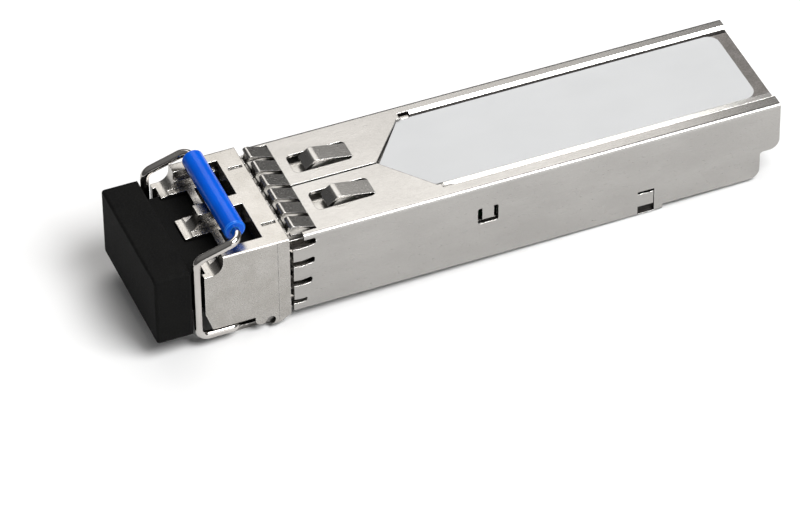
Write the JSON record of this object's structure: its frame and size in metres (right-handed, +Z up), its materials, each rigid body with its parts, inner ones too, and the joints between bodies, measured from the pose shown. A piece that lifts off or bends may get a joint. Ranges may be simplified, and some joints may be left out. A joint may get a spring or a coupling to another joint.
{
  "type": "pluggable optical transceiver",
  "caption": "Small pluggable duplex optical transceiver: die-cast nose, wrapped sheet cover with spring fingers, wire bail with blue sleeve, latch and black rubber port plug.",
  "frame": {"origin": "centre of the module's bottom face, half-way along its length", "axes": "+X to the rear end that enters the cage, +Y to the transmitter side, +Z up through the label"},
  "size_m": [0.06, 0.0138, 0.0122],
  "materials": {
    "cover_sheet": "satin rolled sheet, bright bends",
    "casting": "nickel-plated die casting, fine grain",
    "wire": "bright spring wire",
    "sleeve": "extruded tube, smooth",
    "cams": "moulded, smooth",
    "latch_metal": "nickel-plated casting",
    "pin_steel": "ground pin",
    "spring_steel": "folded leaf",
    "label_film": "matt polyester film",
    "rubber": "matt moulded rubber, fine grain",
    "board": "solder mask over glass laminate",
    "gold": "hard gold plating",
    "barrel_metal": "turned stainless",
    "can_metal": "plated can",
    "ceramic": "ground zirconia",
    "flex_film": "polyimide film",
    "clamp_sheet": "stamped sheet",
    "chip_resin": "moulded resin",
    "capacitor_body": "fired ceramic",
    "resistor_body": "glazed ceramic"
  },
  "bodies": {
    "module": {"shell_cover": "cover_sheet", "label": "label_film", "die_cast_body": "casting", "latch_pin": "pin_steel", "latch_spring": "spring_steel", "optics_clamp": "clamp_sheet", "transmitter_barrel": "barrel_metal", "transmitter_ferrule_sleeve": "ceramic", "transmitter_can": "can_metal", "transmitter_flex": "flex_film", "receiver_barrel": "barrel_metal", "receiver_ferrule_sleeve": "ceramic", "receiver_can": "can_metal", "receiver_flex": "flex_film", "circuit_board": "board", "edge_contacts_top": "gold", "edge_contacts_bottom": "gold", "laser_driver_chip": "chip_resin", "controller_chip": "chip_resin", "memory_chip": "chip_resin", "chip_capacitors": "capacitor_body", "chip_resistors": "resistor_body"},
    "bail": {"bail_wire": "wire", "bail_sleeve": "sleeve", "release_cams": "cams"},
    "latch": {"latch_rocker": "latch_metal"},
    "plug": {"dust_plug": "rubber"}
  },
  "joints": [
    {"name": "bail_swing", "type": "hinge", "parent": "module", "child": "bail", "pos_m": [-0.02425, 0, 0], "axis": [0, -1, 0], "range_deg": [0, 90]},
    {"name": "latch_rock", "type": "hinge", "parent": "module", "child": "latch", "pos_m": [-0.02115, 0, -0.0001], "axis": [0, -1, 0], "range_deg": [0, 6.5], "deforming": ["latch_spring"]},
    {"name": "plug_pull", "type": "slide", "parent": "module", "child": "plug", "axis": [-1, 0, 0], "range_m": [0, 0.024]}
  ],
  "couplings": [
    {"joint": "bail_swing", "follows": "plug_pull", "rad_per_m": 65.44},
    {"joint": "latch_rock", "follows": "plug_pull", "rad_per_m": 4.725}
  ]
}
